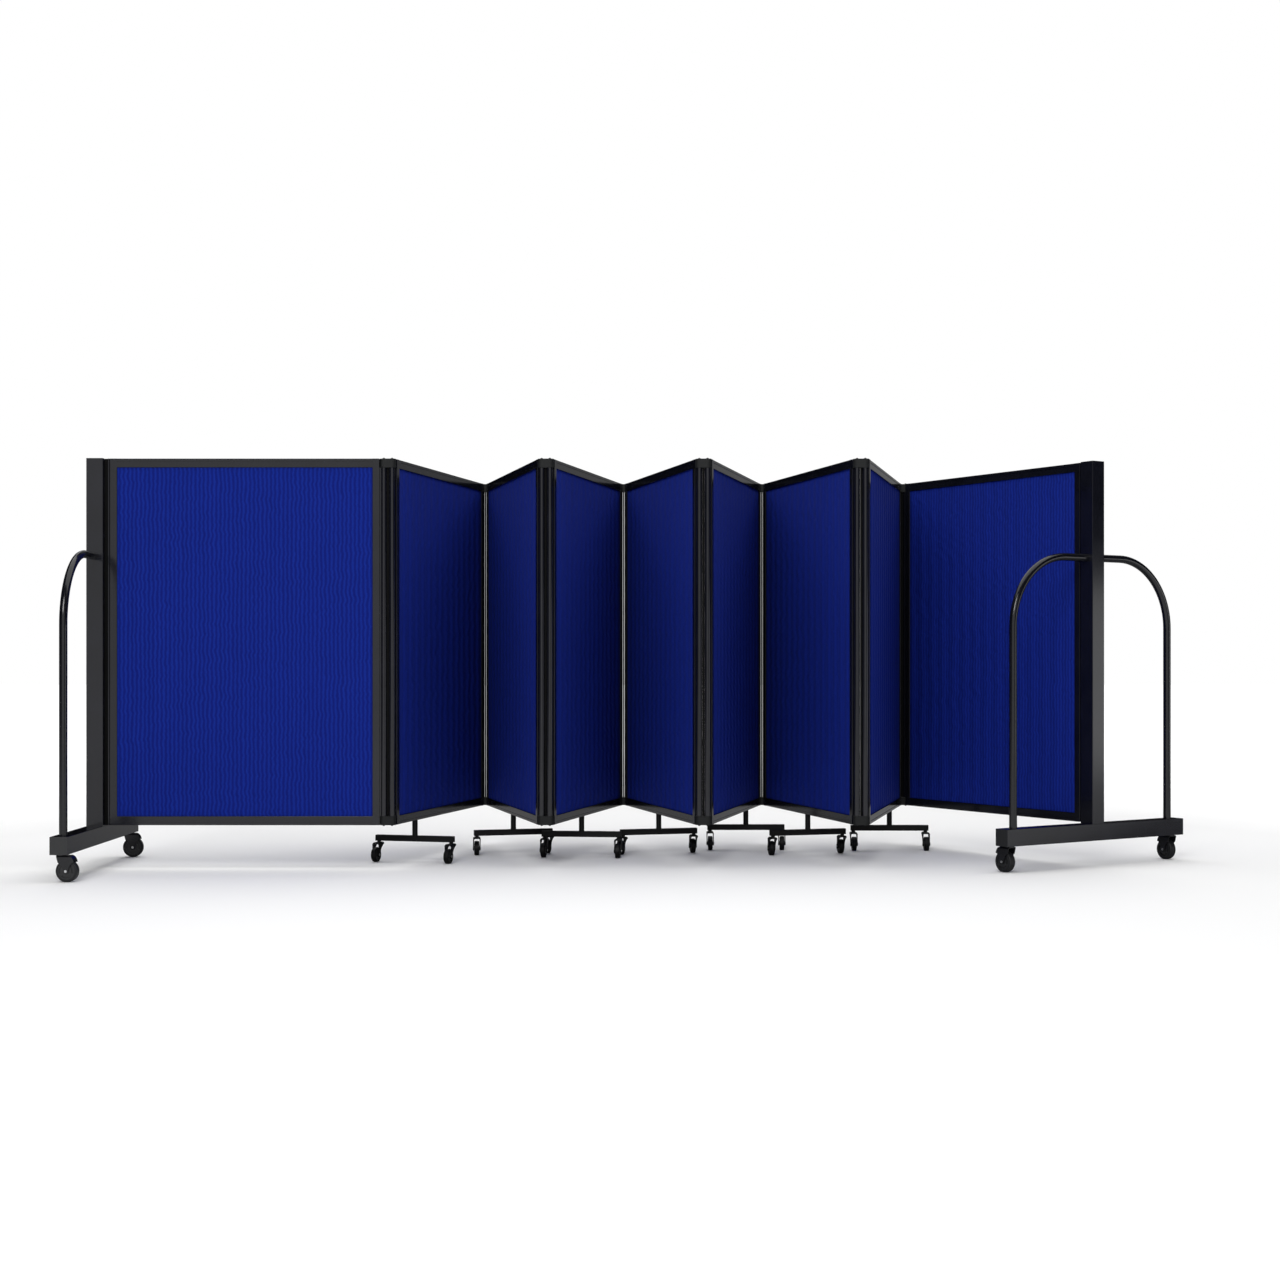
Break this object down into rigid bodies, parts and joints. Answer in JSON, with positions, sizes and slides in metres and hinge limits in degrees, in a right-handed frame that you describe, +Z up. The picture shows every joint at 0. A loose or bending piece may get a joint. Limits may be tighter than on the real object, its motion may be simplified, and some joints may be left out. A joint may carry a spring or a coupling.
{
  "type": "folding partition",
  "caption": "Accordion partition of fabric panels in aluminium frames, joined by two-pin hinges, with T-legs and arched end frames on swivel casters.",
  "frame": {"origin": "the floor point under the centre of the bounding box", "axes": "+X along the row of panels to the right, +Y away from the front hinges, +Z up"},
  "size_m": [2.7766, 0.9854, 1.0186],
  "materials": {
    "fabric_panel": "woven",
    "dark_tube": "satin coated",
    "hinge_plastic": "matt",
    "caster_fork": "satin",
    "caster_wheel": "matt"
  },
  "bodies": {
    "panel_1": {"panel_1": "fabric_panel", "left_end_post": "dark_tube", "left_base_bar": "dark_tube", "left_arch": "dark_tube"},
    "panel_2": {"panel_2": "fabric_panel"},
    "panel_3": {"panel_3": "fabric_panel"},
    "panel_4": {"panel_4": "fabric_panel"},
    "panel_5": {"panel_5": "fabric_panel"},
    "panel_6": {"panel_6": "fabric_panel"},
    "panel_7": {"panel_7": "fabric_panel"},
    "panel_8": {"panel_8": "fabric_panel"},
    "panel_9": {"panel_9": "fabric_panel", "right_end_post": "dark_tube", "right_base_bar": "dark_tube", "right_arch": "dark_tube"},
    "hinge_1_link": {"hinge_1_link": "hinge_plastic"},
    "hinge_2_link": {"hinge_2_link": "hinge_plastic"},
    "hinge_3_link": {"hinge_3_link": "hinge_plastic"},
    "hinge_4_link": {"hinge_4_link": "hinge_plastic"},
    "hinge_5_link": {"hinge_5_link": "hinge_plastic"},
    "hinge_6_link": {"hinge_6_link": "hinge_plastic"},
    "hinge_7_link": {"hinge_7_link": "hinge_plastic"},
    "hinge_8_link": {"hinge_8_link": "hinge_plastic"},
    "left_front_fork": {"left_front_fork": "caster_fork"},
    "left_front_wheel": {"left_front_wheel": "caster_wheel"},
    "left_back_fork": {"left_back_fork": "caster_fork"},
    "left_back_wheel": {"left_back_wheel": "caster_wheel"},
    "right_front_fork": {"right_front_fork": "caster_fork"},
    "right_front_wheel": {"right_front_wheel": "caster_wheel"},
    "right_back_fork": {"right_back_fork": "caster_fork"},
    "right_back_wheel": {"right_back_wheel": "caster_wheel"},
    "leg_2_left_fork": {"leg_2_left_fork": "caster_fork"},
    "leg_2_left_wheel": {"leg_2_left_wheel": "caster_wheel"},
    "leg_2_right_fork": {"leg_2_right_fork": "caster_fork"},
    "leg_2_right_wheel": {"leg_2_right_wheel": "caster_wheel"},
    "leg_3_left_fork": {"leg_3_left_fork": "caster_fork"},
    "leg_3_left_wheel": {"leg_3_left_wheel": "caster_wheel"},
    "leg_3_right_fork": {"leg_3_right_fork": "caster_fork"},
    "leg_3_right_wheel": {"leg_3_right_wheel": "caster_wheel"},
    "leg_4_left_fork": {"leg_4_left_fork": "caster_fork"},
    "leg_4_left_wheel": {"leg_4_left_wheel": "caster_wheel"},
    "leg_4_right_fork": {"leg_4_right_fork": "caster_fork"},
    "leg_4_right_wheel": {"leg_4_right_wheel": "caster_wheel"},
    "leg_5_left_fork": {"leg_5_left_fork": "caster_fork"},
    "leg_5_left_wheel": {"leg_5_left_wheel": "caster_wheel"},
    "leg_5_right_fork": {"leg_5_right_fork": "caster_fork"},
    "leg_5_right_wheel": {"leg_5_right_wheel": "caster_wheel"},
    "leg_6_left_fork": {"leg_6_left_fork": "caster_fork"},
    "leg_6_left_wheel": {"leg_6_left_wheel": "caster_wheel"},
    "leg_6_right_fork": {"leg_6_right_fork": "caster_fork"},
    "leg_6_right_wheel": {"leg_6_right_wheel": "caster_wheel"},
    "leg_7_left_fork": {"leg_7_left_fork": "caster_fork"},
    "leg_7_left_wheel": {"leg_7_left_wheel": "caster_wheel"},
    "leg_7_right_fork": {"leg_7_right_fork": "caster_fork"},
    "leg_7_right_wheel": {"leg_7_right_wheel": "caster_wheel"},
    "leg_8_left_fork": {"leg_8_left_fork": "caster_fork"},
    "leg_8_left_wheel": {"leg_8_left_wheel": "caster_wheel"},
    "leg_8_right_fork": {"leg_8_right_fork": "caster_fork"},
    "leg_8_right_wheel": {"leg_8_right_wheel": "caster_wheel"}
  },
  "joints": [
    {"name": "hinge_4_right_pin", "type": "hinge", "parent": "panel_5", "child": "hinge_4_link", "pos_m": [-0.0571, 0.48052, 0.56], "axis": [0, 0, -1], "range_deg": [-6, 75]},
    {"name": "hinge_4_left_pin", "type": "hinge", "parent": "hinge_4_link", "child": "panel_4", "pos_m": [-0.07749, 0.48266, 0.56], "axis": [0, 0, -1], "range_deg": [-6, 75]},
    {"name": "hinge_3_right_pin", "type": "hinge", "parent": "panel_4", "child": "hinge_3_link", "pos_m": [-0.24459, -0.18267, 0.56], "axis": [0, 0, 1], "range_deg": [-6, 75]},
    {"name": "hinge_3_left_pin", "type": "hinge", "parent": "hinge_3_link", "child": "panel_3", "pos_m": [-0.26498, -0.18053, 0.56], "axis": [0, 0, 1], "range_deg": [-6, 75]},
    {"name": "hinge_2_right_pin", "type": "hinge", "parent": "panel_3", "child": "hinge_2_link", "pos_m": [-0.44828, 0.48053, 0.56], "axis": [0, 0, -1], "range_deg": [-6, 75]},
    {"name": "hinge_2_left_pin", "type": "hinge", "parent": "hinge_2_link", "child": "panel_2", "pos_m": [-0.46867, 0.48267, 0.56], "axis": [0, 0, -1], "range_deg": [-6, 75]},
    {"name": "hinge_5_left_pin", "type": "hinge", "parent": "panel_5", "child": "hinge_5_link", "pos_m": [0.1262, -0.18054, 0.56], "axis": [0, 0, -1], "range_deg": [-6, 75]},
    {"name": "hinge_5_right_pin", "type": "hinge", "parent": "hinge_5_link", "child": "panel_6", "pos_m": [0.14658, -0.18268, 0.56], "axis": [0, 0, -1], "range_deg": [-6, 75]},
    {"name": "hinge_6_left_pin", "type": "hinge", "parent": "panel_6", "child": "hinge_6_link", "pos_m": [0.31368, 0.48266, 0.56], "axis": [0, 0, 1], "range_deg": [-6, 75]},
    {"name": "hinge_6_right_pin", "type": "hinge", "parent": "hinge_6_link", "child": "panel_7", "pos_m": [0.33407, 0.48051, 0.56], "axis": [0, 0, 1], "range_deg": [-6, 75]},
    {"name": "hinge_7_left_pin", "type": "hinge", "parent": "panel_7", "child": "hinge_7_link", "pos_m": [0.51737, -0.18054, 0.56], "axis": [0, 0, -1], "range_deg": [-6, 75]},
    {"name": "hinge_7_right_pin", "type": "hinge", "parent": "hinge_7_link", "child": "panel_8", "pos_m": [0.53776, -0.18269, 0.56], "axis": [0, 0, -1], "range_deg": [-6, 75]},
    {"name": "hinge_1_right_pin", "type": "hinge", "parent": "panel_2", "child": "hinge_1_link", "pos_m": [-0.63577, -0.18267, 0.56], "axis": [0, 0, 1], "range_deg": [-12, 100]},
    {"name": "hinge_1_left_pin", "type": "hinge", "parent": "hinge_1_link", "child": "panel_1", "pos_m": [-0.65627, -0.18267, 0.56], "axis": [0, 0, 1], "range_deg": [-75, 90]},
    {"name": "hinge_8_left_pin", "type": "hinge", "parent": "panel_8", "child": "hinge_8_link", "pos_m": [0.71066, 0.48117, 0.56], "axis": [0, 0, 1], "range_deg": [-12, 100]},
    {"name": "hinge_8_right_pin", "type": "hinge", "parent": "hinge_8_link", "child": "panel_9", "pos_m": [0.73116, 0.48117, 0.56], "axis": [0, 0, 1], "range_deg": [-28, 85]},
    {"name": "left_front_swivel", "type": "hinge", "parent": "panel_1", "child": "left_front_fork", "pos_m": [-1.36777, -0.46667, 0.065], "axis": [0, 0, 1], "continuous": true},
    {"name": "left_back_swivel", "type": "hinge", "parent": "panel_1", "child": "left_back_fork", "pos_m": [-1.36777, 0.10133, 0.065], "axis": [0, 0, 1], "continuous": true},
    {"name": "right_front_swivel", "type": "hinge", "parent": "panel_9", "child": "right_front_fork", "pos_m": [0.87786, -0.27074, 0.065], "axis": [0, 0, 1], "continuous": true},
    {"name": "right_back_swivel", "type": "hinge", "parent": "panel_9", "child": "right_back_fork", "pos_m": [1.35531, 0.03695, 0.065], "axis": [0, 0, 1], "continuous": true},
    {"name": "leg_2_left_swivel", "type": "hinge", "parent": "panel_2", "child": "leg_2_left_fork", "pos_m": [-0.69233, -0.00556, 0.0534], "axis": [0, 0, 1], "continuous": true},
    {"name": "leg_2_right_swivel", "type": "hinge", "parent": "panel_2", "child": "leg_2_right_fork", "pos_m": [-0.50223, -0.0533, 0.0534], "axis": [0, 0, 1], "continuous": true},
    {"name": "leg_3_left_swivel", "type": "hinge", "parent": "panel_3", "child": "leg_3_left_fork", "pos_m": [-0.45187, 0.1267, 0.0534], "axis": [0, 0, 1], "continuous": true},
    {"name": "leg_3_right_swivel", "type": "hinge", "parent": "panel_3", "child": "leg_3_right_fork", "pos_m": [-0.26299, 0.17907, 0.0534], "axis": [0, 0, 1], "continuous": true},
    {"name": "leg_4_left_swivel", "type": "hinge", "parent": "panel_4", "child": "leg_4_left_fork", "pos_m": [-0.27188, 0.10706, 0.0534], "axis": [0, 0, 1], "continuous": true},
    {"name": "leg_4_right_swivel", "type": "hinge", "parent": "panel_4", "child": "leg_4_right_fork", "pos_m": [-0.07699, 0.08624, 0.0534], "axis": [0, 0, 1], "continuous": true},
    {"name": "leg_5_left_swivel", "type": "hinge", "parent": "panel_5", "child": "leg_5_left_fork", "pos_m": [-0.0655, 0.14404, 0.0534], "axis": [0, 0, 1], "continuous": true},
    {"name": "leg_5_right_swivel", "type": "hinge", "parent": "panel_5", "child": "leg_5_right_fork", "pos_m": [0.12337, 0.19641, 0.0534], "axis": [0, 0, 1], "continuous": true},
    {"name": "leg_6_left_swivel", "type": "hinge", "parent": "panel_6", "child": "leg_6_left_fork", "pos_m": [0.17062, 0.3034, 0.0534], "axis": [0, 0, 1], "continuous": true},
    {"name": "leg_6_right_swivel", "type": "hinge", "parent": "panel_6", "child": "leg_6_right_fork", "pos_m": [0.36662, 0.30306, 0.0534], "axis": [0, 0, 1], "continuous": true},
    {"name": "leg_7_left_swivel", "type": "hinge", "parent": "panel_7", "child": "leg_7_left_fork", "pos_m": [0.33048, 0.12669, 0.0534], "axis": [0, 0, 1], "continuous": true},
    {"name": "leg_7_right_swivel", "type": "hinge", "parent": "panel_7", "child": "leg_7_right_fork", "pos_m": [0.51936, 0.17906, 0.0534], "axis": [0, 0, 1], "continuous": true},
    {"name": "leg_8_left_swivel", "type": "hinge", "parent": "panel_8", "child": "leg_8_left_fork", "pos_m": [0.56075, 0.28284, 0.0534], "axis": [0, 0, 1], "continuous": true},
    {"name": "leg_8_right_swivel", "type": "hinge", "parent": "panel_8", "child": "leg_8_right_fork", "pos_m": [0.75673, 0.28079, 0.0534], "axis": [0, 0, 1], "continuous": true},
    {"name": "left_front_spin", "type": "hinge", "parent": "left_front_fork", "child": "left_front_wheel", "pos_m": [-1.3538, -0.46765, 0.026], "axis": [0.0698, 0.9976, 0], "continuous": true},
    {"name": "left_back_spin", "type": "hinge", "parent": "left_back_fork", "child": "left_back_wheel", "pos_m": [-1.35384, 0.10279, 0.026], "axis": [-0.1045, 0.9945, 0], "continuous": true},
    {"name": "right_front_spin", "type": "hinge", "parent": "right_front_fork", "child": "right_front_wheel", "pos_m": [0.86968, -0.25939, 0.026], "axis": [-0.8111, -0.585, 0], "continuous": true},
    {"name": "right_back_spin", "type": "hinge", "parent": "right_back_fork", "child": "right_back_wheel", "pos_m": [1.34835, 0.0491, 0.026], "axis": [-0.8678, -0.497, 0], "continuous": true},
    {"name": "leg_2_left_spin", "type": "hinge", "parent": "leg_2_left_fork", "child": "leg_2_left_wheel", "pos_m": [-0.69792, -0.02267, 0.019], "axis": [0.9505, -0.3106, 0], "continuous": true},
    {"name": "leg_2_right_spin", "type": "hinge", "parent": "leg_2_right_fork", "child": "leg_2_right_wheel", "pos_m": [-0.50782, -0.07041, 0.019], "axis": [0.9505, -0.3106, 0], "continuous": true},
    {"name": "leg_3_left_spin", "type": "hinge", "parent": "leg_3_left_fork", "child": "leg_3_left_wheel", "pos_m": [-0.45422, 0.14455, 0.019], "axis": [-0.9914, -0.1305, 0], "continuous": true},
    {"name": "leg_3_right_spin", "type": "hinge", "parent": "leg_3_right_fork", "child": "leg_3_right_wheel", "pos_m": [-0.26959, 0.19582, 0.019], "axis": [-0.9304, -0.3665, 0], "continuous": true},
    {"name": "leg_4_left_spin", "type": "hinge", "parent": "leg_4_left_fork", "child": "leg_4_left_wheel", "pos_m": [-0.2738, 0.08916, 0.019], "axis": [0.9943, -0.1062, 0], "continuous": true},
    {"name": "leg_4_right_spin", "type": "hinge", "parent": "leg_4_right_fork", "child": "leg_4_right_wheel", "pos_m": [-0.0789, 0.06834, 0.019], "axis": [0.9943, -0.1062, 0], "continuous": true},
    {"name": "leg_5_left_spin", "type": "hinge", "parent": "leg_5_left_fork", "child": "leg_5_left_wheel", "pos_m": [-0.0721, 0.16079, 0.019], "axis": [-0.9304, -0.3665, 0], "continuous": true},
    {"name": "leg_5_right_spin", "type": "hinge", "parent": "leg_5_right_fork", "child": "leg_5_right_wheel", "pos_m": [0.12071, 0.21422, 0.019], "axis": [-0.989, -0.1478, 0], "continuous": true},
    {"name": "leg_6_left_spin", "type": "hinge", "parent": "leg_6_left_fork", "child": "leg_6_left_wheel", "pos_m": [0.17059, 0.2854, 0.019], "axis": [1, -0.0017, 0], "continuous": true},
    {"name": "leg_6_right_spin", "type": "hinge", "parent": "leg_6_right_fork", "child": "leg_6_right_wheel", "pos_m": [0.36596, 0.28507, 0.019], "axis": [0.9993, -0.0366, 0], "continuous": true},
    {"name": "leg_7_left_spin", "type": "hinge", "parent": "leg_7_left_fork", "child": "leg_7_left_wheel", "pos_m": [0.32751, 0.14444, 0.019], "axis": [-0.9863, -0.165, 0], "continuous": true},
    {"name": "leg_7_right_spin", "type": "hinge", "parent": "leg_7_right_fork", "child": "leg_7_right_wheel", "pos_m": [0.51639, 0.19681, 0.019], "axis": [-0.9863, -0.165, 0], "continuous": true},
    {"name": "leg_8_left_spin", "type": "hinge", "parent": "leg_8_left_fork", "child": "leg_8_left_wheel", "pos_m": [0.56056, 0.26484, 0.019], "axis": [0.9999, -0.0104, 0], "continuous": true},
    {"name": "leg_8_right_spin", "type": "hinge", "parent": "leg_8_right_fork", "child": "leg_8_right_wheel", "pos_m": [0.75655, 0.26279, 0.019], "axis": [0.9999, -0.0104, 0], "continuous": true}
  ]
}
